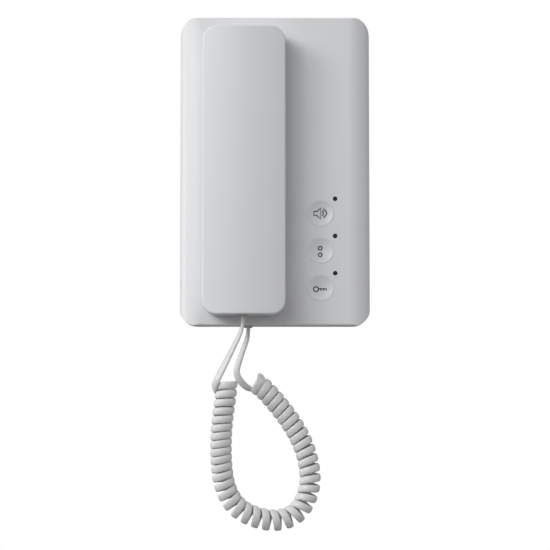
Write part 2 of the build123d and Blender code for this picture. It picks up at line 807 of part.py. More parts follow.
def spline_stations(points, per_span):
    """Points and directions along a clamped quadratic spline."""
    corners = [Vector(*p) for p in points]
    stations = []
    start = corners[0]
    for i in range(1, len(corners) - 1):
        corner = corners[i]
        last = i == len(corners) - 2
        end = corners[i + 1] if last else (corner + corners[i + 1]) * 0.5
        for k in range(per_span):
            t = k / per_span
            point = start * (1 - t) ** 2 + corner * (2 * t * (1 - t)) + end * t ** 2
            heading = (corner - start) * (1 - t) + (end - corner) * t
            stations.append((point, heading.normalized()))
        start = end
    stations.append((end, (end - corner).normalized()))
    return stations


def hung(points):
    """Points of the cord, with their heights counted from the base's lower edge."""
    return [(x, y, base_bottom + z) for x, y, z in points]


axis = spline_stations(hung(axis_route), spline_samples)
axis_length = [0.0]
for (a, _), (b, _) in zip(axis, axis[1:]):
    axis_length.append(axis_length[-1] + (b - a).length)
turn_radius = (coil_dia - cord_dia) / 2


def on_axis(distance):
    """Point and direction of the coil's axis at a distance along it."""
    k = min(max(bisect.bisect_right(axis_length, distance) - 1, 0), len(axis) - 2)
    share = (distance - axis_length[k]) / (axis_length[k + 1] - axis_length[k])
    (a, heading_a), (b, heading_b) = axis[k], axis[k + 1]
    return a * (1 - share) + b * share, (heading_a * (1 - share) + heading_b * share).normalized()


def pitch_sum(part):
    """Integral of the pitch shares over the first part (0 to 1) of the turns."""
    steps = len(pitch_shares) - 1
    total = 0.0
    for i in range(steps):
        width = min(max(part * steps - i, 0.0), 1.0)
        total += width * (pitch_shares[i] + (pitch_shares[i + 1] - pitch_shares[i]) * width / 2)
    return total


def turn_distance(turn):
    """Where a turn lies along the axis: wider where the loop stretches the coil."""
    last = axis_length[-1] - last_turn_before
    if turn < 0:
        return first_turn_at + turn * end_pitch
    if turn > coil_turns:
        return last + (turn - coil_turns) * end_pitch
    return first_turn_at + (last - first_turn_at) * pitch_sum(turn / coil_turns) / pitch_sum(1)


def turn_point(turn):
    """A point of the right-handed coil; whole turns lie at the front."""
    middle, heading = on_axis(turn_distance(turn))
    front = Vector(0, -1, 0)
    out = (front - heading * front.dot(heading)).normalized()
    across = heading.cross(out)
    angle = 2 * math.pi * turn
    return middle + (out * math.cos(angle) + across * math.sin(angle)) * turn_radius


def turn_heading(turn):
    return (turn_point(turn + straight_angle) - turn_point(turn - straight_angle)).normalized()


def biarc_joint(p0, t0, p1, t1):
    """Where two arcs meet that run from one point and heading to another."""
    chord = p1 - p0
    bend = 2 * (t0.dot(t1) - 1)
    lean = -2 * chord.dot(t0 + t1)
    square = chord.dot(chord)
    if abs(bend) < straight_angle ** 2:
        reach = -square / lean
    else:
        root = math.sqrt(lean * lean - 4 * bend * square)
        reach = max((-lean + root) / (2 * bend), (-lean - root) / (2 * bend))
    a = p0 + t0 * reach
    b = p1 - t1 * reach
    return (a + b) * 0.5, (b - a).normalized()


def coil_stations():
    first, last = -end_turn, coil_turns + end_turn
    first_point, first_heading = turn_point(first), turn_heading(first)
    last_point, last_heading = turn_point(last), turn_heading(last)
    way_in = hung(start_tail) + [tuple(first_point - first_heading * end_reach), tuple(first_point)]
    way_out = [tuple(last_point), tuple(last_point + last_heading * end_reach)] + hung(end_tail)
    steps = round((last - first) / turn_step)
    turns = [first + turn_step * i for i in range(steps + 1)]
    wound = [(turn_point(t), turn_heading(t)) for t in turns]
    return spline_stations(way_in, 2)[:-1] + wound + spline_stations(way_out, 2)[1:]


def least_self_gap(path):
    """Least free space between parts of the cord that lie well apart along it."""
    dense = []
    for edge in path.edges():
        count = max(2, int(edge.length / sample_spacing))
        dense += [tuple(edge.position_at(k / count)) for k in range(count)]
    points = np.array(dense)
    along = np.concatenate([[0.0], np.cumsum(np.linalg.norm(np.diff(points, axis=0), axis=1))])
    squares = (points ** 2).sum(axis=1)
    apart = squares[:, None] + squares[None, :] - 2 * points @ points.T
    near = np.abs(along[:, None] - along[None, :]) <= self_gap_reach * cord_dia
    apart[near] = np.inf
    return math.sqrt(apart.min()) - cord_dia


def make_cord_coil():
    stations = coil_stations()
    edges = []
    radii = []
    start, heading = stations[0]
    begin = start - heading * cord_dia
    edges.append(Line(begin, start))
    for (p0, t0), (p1, t1) in zip(stations, stations[1:]):
        joint, joint_heading = biarc_joint(p0, t0, p1, t1)
        for a, ta, b in ((p0, t0, joint), (joint, joint_heading, p1)):
            chord = b - a
            angle = math.acos(max(-1.0, min(1.0, chord.normalized().dot(ta))))
            if angle < straight_angle:
                edges.append(Line(a, b))
            else:
                radii.append(chord.length / (2 * math.sin(angle)))
                edges.append(TangentArc(a, b, tangent=ta))
    stop, last_heading = stations[-1]
    edges.append(Line(stop, stop + last_heading * cord_dia))
    path = Wire(edges)
    section = Plane(origin=begin, z_dir=heading) * RegularPolygon(cord_dia / 2, coil_sides)
    coil = sweep(sections=section, path=path, clean=False)
    print("cord_coil length", round(path.length, 1), "least radius", round(min(radii), 2),
          "least self gap", round(least_self_gap(path), 3))
    print("cord_coil volume", round(coil.volume), "section x length", round(section.area * path.length),
          "valid", coil.is_valid)
    return coil


def make_lead(name, points):
    """A limp round cord through hand-chosen points, with its corners rounded."""
    radii = []
    for a, b, c in zip(points, points[1:], points[2:]):
        run_in = b - a
        run_out = c - b
        half_turn = math.acos(run_in.normalized().dot(run_out.normalized())) / 2
        radii.append(corner_share * min(run_in.length, run_out.length) / math.tan(half_turn))
    path = FilletPolyline(*points, radius=radii)
    section = Plane(origin=path @ 0, z_dir=path % 0) * Circle(cord_dia / 2)
    lead = sweep(sections=section, path=path)
    print(name, "length", round(path.length, 1), "radii", [round(r, 1) for r in radii],
          "volume", round(lead.volume), "section x length", round(section.area * path.length))
    return lead


def make_handset_lead():
    start, heading = spline_stations(hung(start_tail), 1)[0]
    end = start - heading * (cord_dia + touch)
    plug_face = Vector(handset_plug_x, handset_plug_y, handset_bottom - plug_proud - touch)
    return make_lead("cord_lead_handset", [
        plug_face, plug_face - Vector(0, 0, handset_lead_drop), end - heading * handset_lead_last_run, end])


def make_base_lead():
    stop, heading = spline_stations(hung(end_tail), 1)[-1]
    end = stop + heading * (cord_dia + touch)
    plug_face = Vector(base_plug_x, base_plug_y, base_bottom - plug_proud - touch)
    return make_lead("cord_lead_base", [
        plug_face, plug_face - Vector(0, 0, base_lead_drop), end + heading * base_lead_last_run, end])


parts = {
    "front_cover": make_front_cover(),
    "rear_tray": make_rear_tray(),
    "main_pcb": make_main_board(),
    "pcb_screws": make_board_screws(),
    "terminal_block": make_terminal_block(),
    "leds": make_leds(),
    "ringer_speaker": make_ringer(),
    "cradle_magnets": make_magnets(cover_inner + touch + magnet_thick),
    "hook_lever": make_hook_lever(),
    "hook_pin": make_hook_pin(),
    "hook_switch": make_hook_switch(),
    "base_jack": make_jack(base_plug_x, base_plug_y, base_bottom + base_wall + touch),
    "cord_plug_base": make_plug(base_plug_x, base_plug_y, base_bottom, base_wall),
    "cover_screws": make_cover_screws(),
    "handset_front_shell": make_handset_front(),
    "handset_inner_shell": make_handset_inner(),
    "handset_screws": make_handset_screws(),
    "earpiece_capsule": make_earpiece(),
    "ear_gasket": make_ear_gasket(),
    "mic_boot": make_mic_boot(),
    "mic_capsule": make_mic(),
    "handset_weight": make_weight(),
    "handset_magnets": make_magnets(inner_face - touch),
    "handset_pcb": make_handset_board(),
    "handset_jack": make_jack(handset_plug_x, handset_plug_y, handset_bottom + handset_wall + touch),
    "cord_plug_handset": make_plug(handset_plug_x, handset_plug_y, handset_bottom, handset_wall),
    "cord_coil": make_cord_coil(),
    "cord_lead_handset": make_handset_lead(),
    "cord_lead_base": make_base_lead(),
}
for i, z in enumerate(key_places):
    parts[f"key_{i + 1}"] = make_key(z)
    parts[f"tact_switch_{i + 1}"] = make_tact_switch(z)
    parts[f"led_window_{i + 1}"] = make_window(z)
for name, shape in parts.items():
    export_step(shape, f"parts/{name}.step")
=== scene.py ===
import math

import bmesh
import bpy
import numpy as np
from mathutils import Matrix, Vector


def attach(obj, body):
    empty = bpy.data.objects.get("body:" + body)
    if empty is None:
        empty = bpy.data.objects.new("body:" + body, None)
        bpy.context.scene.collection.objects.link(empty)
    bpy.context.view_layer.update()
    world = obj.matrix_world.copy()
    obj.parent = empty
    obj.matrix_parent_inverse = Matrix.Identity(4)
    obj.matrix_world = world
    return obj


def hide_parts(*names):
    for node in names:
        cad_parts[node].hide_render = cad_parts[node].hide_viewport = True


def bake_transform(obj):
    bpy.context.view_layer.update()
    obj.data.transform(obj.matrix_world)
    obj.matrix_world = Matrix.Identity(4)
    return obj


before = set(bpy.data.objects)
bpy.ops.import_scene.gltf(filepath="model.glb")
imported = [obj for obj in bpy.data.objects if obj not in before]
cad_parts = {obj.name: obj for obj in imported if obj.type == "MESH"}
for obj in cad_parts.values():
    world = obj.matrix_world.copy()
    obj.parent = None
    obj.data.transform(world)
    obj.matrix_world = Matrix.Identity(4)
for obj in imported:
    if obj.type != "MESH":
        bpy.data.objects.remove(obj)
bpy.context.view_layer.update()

# Base housing
# A one-piece white ABS shell, injection moulded with a fine satin texture and
# rolled off at its two long sides. It snaps over the tray and is held from below.
housing_white = (0.792, 0.800, 0.815)
housing_roughness = 0.46
mould_grain = 3200.0
mould_grain_depth = 0.000014
seam_angle = math.radians(26)
weld_gap = 1e-6
cloud_spread = 0.015
polish_spread = 0.05


def node_links(material):
    tree = material.node_tree
    return tree.nodes, tree.links


def satin_plastic(name, colour, roughness, grain=mould_grain, depth=mould_grain_depth, coat=0.0):
    """Moulded plastic: faint cloudiness in the colour, an eroded-steel texture in the surface."""
    material = bpy.data.materials.new(name)
    material.use_nodes = True
    nodes, links = node_links(material)
    shader = nodes["Principled BSDF"]
    shader.inputs["IOR"].default_value = 1.5
    shader.inputs["Coat Weight"].default_value = coat
    place = nodes.new("ShaderNodeTexCoord")
    cloud = nodes.new("ShaderNodeTexNoise")
    cloud.inputs["Scale"].default_value = 38.0
    cloud.inputs["Detail"].default_value = 3.0
    tint = nodes.new("ShaderNodeMix")
    tint.data_type = "RGBA"
    tint.inputs["A"].default_value = (*[c * (1 - cloud_spread) for c in colour], 1)
    tint.inputs["B"].default_value = (*[min(1, c * (1 + cloud_spread)) for c in colour], 1)
    fine = nodes.new("ShaderNodeTexNoise")
    fine.inputs["Scale"].default_value = grain
    fine.inputs["Detail"].default_value = 2.0
    polish = nodes.new("ShaderNodeMapRange")
    polish.inputs["To Min"].default_value = roughness - polish_spread
    polish.inputs["To Max"].default_value = roughness + polish_spread
    bump = nodes.new("ShaderNodeBump")
    bump.inputs["Strength"].default_value = 0.5
    bump.inputs["Distance"].default_value = depth
    links.new(place.outputs["Object"], cloud.inputs["Vector"])
    links.new(place.outputs["Object"], fine.inputs["Vector"])
    links.new(cloud.outputs["Fac"], tint.inputs["Factor"])
    links.new(cloud.outputs["Fac"], polish.inputs["Value"])
    links.new(tint.outputs["Result"], shader.inputs["Base Color"])
    links.new(polish.outputs["Result"], shader.inputs["Roughness"])
    links.new(fine.outputs["Fac"], bump.inputs["Height"])
    links.new(bump.outputs["Normal"], shader.inputs["Normal"])
    return material


def set_shading(bm, angle):
    """Smooth faces, with the edges that turn more than an angle kept crisp."""
    for face in bm.faces:
        face.smooth = True
    for edge in bm.edges:
        edge.smooth = len(edge.link_faces) != 2 or edge.calc_face_angle(0.0) < angle


def finish_piece(bm, name, material, body, slot, *nodes, weighted=True):
    mesh = bpy.data.meshes.new(name)
    bm.to_mesh(mesh)
    bm.free()
    piece = bpy.data.objects.new(name, mesh)
    bpy.context.scene.collection.objects.link(piece)
    mesh.materials.append(material)
    if weighted:
        even = piece.modifiers.new("even_normals", "WEIGHTED_NORMAL")
        even.keep_sharp = True
        even.weight = 90
    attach(piece, body)
    if nodes:
        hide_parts(*nodes)
    return piece


def moulding(node, name, material, body, slot):
    """The moulded form of a solid, merged and shaded as one skin."""
    bm = bmesh.new()
    bm.from_mesh(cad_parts[node].data)
    bmesh.ops.remove_doubles(bm, verts=bm.verts, dist=weld_gap)
    set_shading(bm, seam_angle)
    return finish_piece(bm, name, material, body, slot, node)


housing_plastic = satin_plastic("housing_white_abs", housing_white, housing_roughness)
moulding("front_cover", "base_housing", housing_plastic, "base", "white_plastic")

# Rear tray
# The flat back moulding that is screwed to the wall box. It carries the board and
# the jack, and is left in the plain off-white of the unpolished mould side.
tray_plastic = satin_plastic("tray_off_white", (0.72, 0.72, 0.70), 0.55, grain=1800.0)
moulding("rear_tray", "rear_tray_moulding", tray_plastic, "base", "inner_plastic")

# Keys
# Three round dished push keys, each turned to the housing's own surface, with a
# flange behind the front and a stem that reaches its switch.
key_x = 0.0292
key_places = [-0.0274, -0.0512, -0.0750]
key_radius = 0.00841
key_rim = 0.0005
key_face = -0.0221
key_dish = 0.0015
dish_ball_radius = ((key_radius - key_rim) ** 2 + key_dish ** 2) / (2 * key_dish)
key_edge_round = 0.0001
key_edge_flat = 0.00028
key_edge_drop = 0.00005
key_flange_radius = 0.00955
key_flange_front = -0.0197
key_flange_back = -0.0186
key_skirt_bore = 0.00695
key_stem_radius = 0.0023
key_stem_end = -0.0145
key_steps = 72
fine_weld_gap = 1e-7
key_white = (0.782, 0.790, 0.805)


def dish_depth(radius):
    """Where the dished face lies at a distance from the key's middle."""
    return key_face + key_dish - dish_ball_radius + math.sqrt(dish_ball_radius ** 2 - radius ** 2)


def lathe(profile, x, z, steps):
    """A profile of radius and depth, turned about a line along Y."""
    bm = bmesh.new()
    ring = [bm.verts.new((x + r, y, z)) for r, y in profile]
    edges = [bm.edges.new(pair) for pair in zip(ring, ring[1:])]
    bmesh.ops.spin(bm, geom=ring + edges, cent=(x, 0, z), axis=(0, 1, 0), dvec=(0, 0, 0),
                   angle=2 * math.pi, steps=steps, use_merge=True, use_duplicate=False)
    bmesh.ops.remove_doubles(bm, verts=bm.verts, dist=fine_weld_gap)
    bmesh.ops.recalc_face_normals(bm, faces=bm.faces)
    return bm


key_plastic = satin_plastic("key_white_abs", key_white, 0.42)
dish_steps = 12
dish_profile = [((key_radius - key_rim) * i / dish_steps,
                 dish_depth((key_radius - key_rim) * i / dish_steps)) for i in range(dish_steps + 1)]
key_profile = dish_profile + [
    (key_radius - key_edge_flat, key_face), (key_radius - key_edge_round, key_face + key_edge_drop),
    (key_radius, key_face + 2 * key_edge_round), (key_radius, key_flange_front),
    (key_flange_radius, key_flange_front), (key_flange_radius, key_flange_back),
    (key_skirt_bore, key_flange_back), (key_skirt_bore, key_flange_front),
    (key_stem_radius, key_flange_front), (key_stem_radius, key_stem_end), (0.0, key_stem_end)]
for i, z in enumerate(key_places, 1):
    bm = lathe(key_profile, key_x, z, key_steps)
    set_shading(bm, seam_angle)
    finish_piece(bm, f"push_key_{i}", key_plastic, f"key_{i}", "key_white", f"key_{i}")

# Key signs
# Line drawings printed in dark grey on the dished faces: a loudspeaker, two call
# rings and a door key. Each stroke is a thin layer of ink that follows the dish.
ink_width = 0.00078
ink_layer = 0.00003
ring_steps = 24
round_angle = math.radians(60)
ink = satin_plastic("sign_ink", (0.055, 0.055, 0.06), 0.5, grain=5200.0, depth=0.000006)


def ring_points(cx, cz, radius):
    """Points of a closed ring in the plane of the sign."""
    angles = [2 * math.pi * i / ring_steps for i in range(ring_steps)]
    return [(cx + radius * math.cos(a), cz + radius * math.sin(a)) for a in angles]


def sign(name, strokes, z, body):
    """Round-ended strokes, flattened to a layer of ink and laid on the dish."""
    curve = bpy.data.curves.new(name, "CURVE")
    curve.dimensions = "3D"
    curve.bevel_depth = ink_width / 2
    curve.bevel_resolution = 2
    curve.use_fill_caps = True
    for points, closed in strokes:
        spline = curve.splines.new("POLY")
        spline.points.add(len(points) - 1)
        for point, (px, pz) in zip(spline.points, points):
            point.co = (px, 0, pz, 1)
        spline.use_cyclic_u = closed
    holder = bpy.data.objects.new(name + "_line", curve)
    bpy.context.scene.collection.objects.link(holder)
    drawn = bpy.data.meshes.new_from_object(holder.evaluated_get(bpy.context.evaluated_depsgraph_get()))
    bpy.data.objects.remove(holder)
    bm = bmesh.new()
    bm.from_mesh(drawn)
    bmesh.ops.remove_doubles(bm, verts=bm.verts, dist=fine_weld_gap)
    for vert in bm.verts:
        lift = vert.co.y / (ink_width / 2) * ink_layer
        radius = math.hypot(vert.co.x, vert.co.z)
        vert.co = (key_x + vert.co.x, dish_depth(radius) - ink_layer + lift, z + vert.co.z)
    bmesh.ops.recalc_face_normals(bm, faces=bm.faces)
    set_shading(bm, round_angle)
    finish_piece(bm, name, ink, body, "dark_window", weighted=False)


loudspeaker = [
    ([(-0.0043, 0.0012), (-0.0023, 0.0012), (0.0, 0.0035), (0.0, -0.0036),
      (-0.0023, -0.0013), (-0.0043, -0.0013)], True),
    ([(0.0010, 0.0017), (0.0016, 0.0009), (0.0018, 0.0), (0.0016, -0.0009), (0.0010, -0.0017)], False),
    ([(0.0018, 0.0030), (0.0032, 0.0014), (0.0038, 0.0005), (0.0038, -0.0005), (0.0032, -0.0014),
      (0.0018, -0.0030)], False),
]
rings = [
    (ring_points(-0.0003, 0.0015, 0.00115), True),
    (ring_points(-0.0003, -0.0027, 0.00115), True),
]
door_key = [
    (ring_points(-0.0030, -0.0009, 0.00156), True),
    ([(-0.0015, -0.0006), (0.0036, -0.0006), (0.0036, -0.0018)], False),
    ([(0.0002, -0.0006), (0.0002, -0.0018)], False),
    ([(0.0020, -0.0006), (0.0020, -0.0018)], False),
]
for i, (name, strokes) in enumerate(
        [("sign_loudspeaker", loudspeaker), ("sign_rings", rings), ("sign_door_key", door_key)], 1):
    sign(name, strokes, key_places[i - 1], f"key_{i}")

# Lamps and their windows
# A smoked acrylic pin by each key leads the light of a lamp on the board to the
# front, where it ends flush in a shallow dome.
window_x = key_x + 0.0092
window_rise = 0.0093
window_radius = 0.00145
window_collar = 0.00225
window_collar_front = -0.0197
window_collar_back = -0.0188
window_end = -0.0116
window_steps = 40
smoked_acrylic = bpy.data.materials.new("smoked_acrylic")
smoked_acrylic.use_nodes = True
nodes, links = node_links(smoked_acrylic)
smoke = nodes["Principled BSDF"]
smoke.inputs["IOR"].default_value = 1.49
smoke.inputs["Coat Weight"].default_value = 0.6
haze = nodes.new("ShaderNodeTexNoise")
haze.inputs["Scale"].default_value = 900.0
haze_place = nodes.new("ShaderNodeTexCoord")
haze_tone = nodes.new("ShaderNodeValToRGB")
haze_tone.color_ramp.elements[0].color = (0.006, 0.006, 0.007, 1)
haze_tone.color_ramp.elements[1].color = (0.020, 0.020, 0.022, 1)
haze_polish = nodes.new("ShaderNodeMapRange")
haze_polish.inputs["To Min"].default_value = 0.16
haze_polish.inputs["To Max"].default_value = 0.30
links.new(haze_place.outputs["Object"], haze.inputs["Vector"])
links.new(haze.outputs["Fac"], haze_tone.inputs["Fac"])
links.new(haze.outputs["Fac"], haze_polish.inputs["Value"])
links.new(haze_tone.outputs["Color"], smoke.inputs["Base Color"])
links.new(haze_polish.outputs["Result"], smoke.inputs["Roughness"])
window_profile = [
    (0.0, -0.02209), (0.0005, -0.022085), (0.0010, -0.02206), (0.0013, -0.02202),
    (window_radius, -0.02192), (window_radius, window_collar_front),
    (window_collar, window_collar_front), (window_collar, window_collar_back),
    (window_radius, window_collar_back), (window_radius, window_end), (0.0, window_end)]
for i, z in enumerate(key_places, 1):
    bm = lathe(window_profile, window_x, z + window_rise, window_steps)
    set_shading(bm, seam_angle)
    finish_piece(bm, f"lamp_window_{i}", smoked_acrylic, "base", "dark_window", f"led_window_{i}")
lamp_red = satin_plastic("lamp_lens_red", (0.70, 0.10, 0.07), 0.2, grain=900.0, coat=0.5)
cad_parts["leds"].data.materials.clear()
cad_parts["leds"].data.materials.append(lamp_red)

# Inner parts of the base
# Behind the front: a green glass-epoxy board on four posts with its switches,
# terminals and lamps, the call speaker, the cradle magnets and the hook switch.
board_epoxy = bpy.data.materials.new("board_green_epoxy")
board_epoxy.use_nodes = True
nodes, links = node_links(board_epoxy)
epoxy = nodes["Principled BSDF"]
epoxy.inputs["Roughness"].default_value = 0.32
board_place = nodes.new("ShaderNodeTexCoord")
tracks = nodes.new("ShaderNodeTexBrick")
tracks.inputs["Scale"].default_value = 210.0
tracks.inputs["Color1"].default_value = (0.012, 0.105, 0.045, 1)
tracks.inputs["Color2"].default_value = (0.016, 0.125, 0.055, 1)
tracks.inputs["Mortar"].default_value = (0.045, 0.225, 0.110, 1)
tracks.inputs["Mortar Size"].default_value = 0.035
turn_tracks = nodes.new("ShaderNodeMapping")
turn_tracks.inputs["Rotation"].default_value = (math.radians(90), 0, 0)
links.new(board_place.outputs["Object"], turn_tracks.inputs["Vector"])
links.new(turn_tracks.outputs["Vector"], tracks.inputs["Vector"])
links.new(tracks.outputs["Color"], epoxy.inputs["Base Color"])


def rolled_metal(name, colour, roughness):
    """Plated metal with fine drawn lines."""
    material = bpy.data.materials.new(name)
    material.use_nodes = True
    nodes, links = node_links(material)
    shader = nodes["Principled BSDF"]
    shader.inputs["Metallic"].default_value = 1.0
    place = nodes.new("ShaderNodeTexCoord")
    stretch = nodes.new("ShaderNodeMapping")
    stretch.inputs["Scale"].default_value = (400.0, 400.0, 6000.0)
    lines = nodes.new("ShaderNodeTexNoise")
    lines.inputs["Scale"].default_value = 1.0
    tone = nodes.new("ShaderNodeMix")
    tone.data_type = "RGBA"
    tone.inputs["A"].default_value = (*[c * 0.9 for c in colour], 1)
    tone.inputs["B"].default_value = (*colour, 1)
    wear = nodes.new("ShaderNodeMapRange")
    wear.inputs["To Min"].default_value = roughness - 0.06
    wear.inputs["To Max"].default_value = roughness + 0.08
    links.new(place.outputs["Object"], stretch.inputs["Vector"])
    links.new(stretch.outputs["Vector"], lines.inputs["Vector"])
    links.new(lines.outputs["Fac"], tone.inputs["Factor"])
    links.new(lines.outputs["Fac"], wear.inputs["Value"])
    links.new(tone.outputs["Result"], shader.inputs["Base Color"])
    links.new(wear.outputs["Result"], shader.inputs["Roughness"])
    return material


plated_steel = rolled_metal("plated_steel", (0.62, 0.62, 0.63), 0.30)
bright_nickel = rolled_metal("nickel_plating", (0.70, 0.68, 0.64), 0.18)
black_moulding = satin_plastic("black_nylon", (0.030, 0.030, 0.032), 0.42)
green_moulding = satin_plastic("terminal_green", (0.055, 0.26, 0.11), 0.45)
black_rubber = satin_plastic("black_rubber", (0.028, 0.028, 0.028), 0.78, grain=1500.0)
inner_finish = {
    "main_pcb": board_epoxy, "handset_pcb": board_epoxy, "pcb_screws": plated_steel,
    "terminal_block": green_moulding, "tact_switch_1": black_moulding,
    "tact_switch_2": black_moulding, "tact_switch_3": black_moulding,
    "ringer_speaker": black_moulding, "cradle_magnets": bright_nickel, "hook_pin": plated_steel,
    "hook_switch": black_moulding, "base_jack": black_moulding, "handset_jack": black_moulding,
    "cover_screws": plated_steel, "handset_screws": plated_steel, "earpiece_capsule": black_moulding,
    "ear_gasket": black_rubber, "mic_boot": black_rubber, "mic_capsule": bright_nickel,
    "handset_weight": plated_steel, "handset_magnets": bright_nickel}
for node, material in inner_finish.items():
    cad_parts[node].data.materials.clear()
    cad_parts[node].data.materials.append(material)

# Hook lever
# A small white lever on a steel pin. Its nose comes through the front under the
# handset and springs out when the handset is lifted.
moulding("hook_lever", "hook_lever_moulding", housing_plastic, "hook_lever", "white_plastic")

# Handset
# Two white ABS shells that meet in a line along the sides: a crowned front and a
# flat inner shell with the ear and mouth bosses that drop into the base. The crown
# is drawn a little fuller towards the long edges than the solid has it.
extra_crown = 0.0019
crown_full_depth = 0.003
crown_fade_depth = 0.006
handset_plastic = satin_plastic("handset_white_abs", (0.782, 0.790, 0.806), 0.44)
front_shell = moulding("handset_front_shell", "handset_front", handset_plastic, "handset", "white_plastic")
shell_points = [v.co for v in front_shell.data.vertices]
shell_sides = [min(p.x for p in shell_points), max(p.x for p in shell_points)]
shell_middle = sum(shell_sides) / 2
shell_half = (shell_sides[1] - shell_sides[0]) / 2
shell_front = min(p.y for p in shell_points)
for vert in front_shell.data.vertices:
    near_front = max(0.0, min(1.0, 1 - (vert.co.y - shell_front - crown_full_depth) / crown_fade_depth))
    vert.co.y += near_front * extra_crown * ((vert.co.x - shell_middle) / shell_half) ** 2
moulding("handset_inner_shell", "handset_inner", handset_plastic, "handset", "white_plastic")

# Modular plugs
# Clear polycarbonate plugs that click into the jacks of the handset and the base;
# only the neck with the cord's clamp shows below each housing.
clear_plastic = bpy.data.materials.new("clear_polycarbonate")
clear_plastic.use_nodes = True
nodes, links = node_links(clear_plastic)
clear = nodes["Principled BSDF"]
clear.inputs["IOR"].default_value = 1.58
clear.inputs["Transmission Weight"].default_value = 0.15
clear_place = nodes.new("ShaderNodeTexCoord")
flow = nodes.new("ShaderNodeTexNoise")
flow.inputs["Scale"].default_value = 700.0
flow.inputs["Detail"].default_value = 2.0
flow_tone = nodes.new("ShaderNodeValToRGB")
flow_tone.color_ramp.elements[0].color = (0.60, 0.61, 0.62, 1)
flow_tone.color_ramp.elements[1].color = (0.92, 0.93, 0.94, 1)
flow_polish = nodes.new("ShaderNodeMapRange")
flow_polish.inputs["To Min"].default_value = 0.12
flow_polish.inputs["To Max"].default_value = 0.40
links.new(clear_place.outputs["Object"], flow.inputs["Vector"])
links.new(flow.outputs["Fac"], flow_tone.inputs["Fac"])
links.new(flow.outputs["Fac"], flow_polish.inputs["Value"])
links.new(flow_tone.outputs["Color"], clear.inputs["Base Color"])
links.new(flow_polish.outputs["Result"], clear.inputs["Roughness"])
for node in ("cord_plug_base", "cord_plug_handset"):
    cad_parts[node].data.materials.clear()
    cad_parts[node].data.materials.append(clear_plastic)

# Curly cord
# A flat four-core cord in white PVC, wound on a mandrel and heat-set, so that it
# springs back into its curls. Both ends run straight out of the curls to a plug.
# In the curls it is a little thicker than where it runs straight.
cord_width = 0.0047
cord_thick = 0.0021
coil_diameter = 0.0135
curl_swell = 1.32
swell_turns = 0.5
turn_radius = (coil_diameter - cord_thick * curl_swell) / 2
coil_turns = 38
end_turn = 0.25
first_turn_at = 0.0049
last_turn_before = 0.0050
end_pitch = 0.0053
end_reach = 0.0050
steps_per_turn = 32
axis_steps = 24
lead_steps = 10
pitch_samples = 400
section_sides = 16
section_squareness = 2.7
pitch_shares = [1.03, 1.0, 0.94, 0.93, 1.04, 1.14, 1.24, 1.25, 1.17, 1.12, 1.05, 1.0, 1.0, 1.0]
coil_axis = [
    (-0.0296, -0.0330, -0.1324), (-0.0307, -0.0335, -0.1440), (-0.0328, -0.0335, -0.1573),
    (-0.0338, -0.0330, -0.1718), (-0.0336, -0.0320, -0.1862), (-0.0316, -0.0305, -0.2007),
    (-0.0250, -0.0285, -0.2130), (-0.0132, -0.0260, -0.2199), (0.0020, -0.0230, -0.2227),
    (0.0152, -0.0200, -0.2175), (0.0222, -0.0175, -0.2036), (0.0225, -0.0160, -0.1899),
    (0.0183, -0.0150, -0.1741), (0.0103, -0.0145, -0.1599), (0.0009, -0.0145, -0.1478),
    (-0.0084, -0.0150, -0.1374), (-0.0147, -0.0150, -0.1333)]
# The free ends: points of the cord, and the way that its flat side faces at each.
handset_end = [
    ((-0.0200, -0.0340, -0.09405), (-0.99, -0.12, 0.0)),
    ((-0.0200, -0.0340, -0.1013), (-0.96, -0.28, 0.0)),
    ((-0.0264, -0.0341, -0.1138), (-0.82, -0.57, 0.0)),
    ((-0.0332, -0.0364, -0.1276), (-0.55, -0.83, 0.0)),
    ((-0.0370, -0.0384, -0.1352), (-0.45, -0.89, -0.1)),
    ((-0.0384, -0.0336, -0.1402), (-0.90, -0.20, -0.4)),
    ((-0.0362, -0.0242, -0.1408), (-0.50, 0.86, -0.1)),
    ((-0.0276, -0.0226, -0.1380), (0.15, 0.98, 0.0)),
]
base_end = [
    ((-0.0096, -0.0049, -0.1342), (0.40, 0.90, 0.1)),
    ((-0.0100, -0.0056, -0.1395), (0.30, 0.30, -0.9)),
    ((-0.0165, -0.0095, -0.1395), (0.25, -0.45, -0.85)),
    ((-0.0222, -0.0125, -0.1345), (-0.10, -0.75, -0.65)),
    ((-0.0250, -0.0129, -0.1285), (-0.60, -0.78, -0.1)),
    ((-0.0230, -0.0131, -0.1220), (-0.72, -0.69, 0.0)),
    ((-0.0207, -0.0132, -0.1150), (-0.80, -0.60, 0.0)),
    ((-0.0170, -0.0130, -0.1059), (-0.93, -0.36, 0.0)),
    ((-0.0170, -0.0130, -0.1003), (-0.98, -0.18, 0.0)),
]


def spline_through(points, resolution):
    """Points read off a clamped curve whose control points are given."""
    curve = bpy.data.curves.new("cord_route", "CURVE")
    curve.dimensions = "3D"
    spline = curve.splines.new("NURBS")
    spline.points.add(len(points) - 1)
    for point, place in zip(spline.points, points):
        point.co = (*place, 1)
    spline.order_u = 3
    spline.use_endpoint_u = True
    spline.resolution_u = resolution
    holder = bpy.data.objects.new("cord_route", curve)
    bpy.context.scene.collection.objects.link(holder)
    line = bpy.data.meshes.new_from_object(holder.evaluated_get(bpy.context.evaluated_depsgraph_get()))
    bpy.data.objects.remove(holder)
    return np.array([v.co[:] for v in line.vertices])


def unit(vectors):
    return vectors / np.linalg.norm(vectors, axis=-1, keepdims=True)


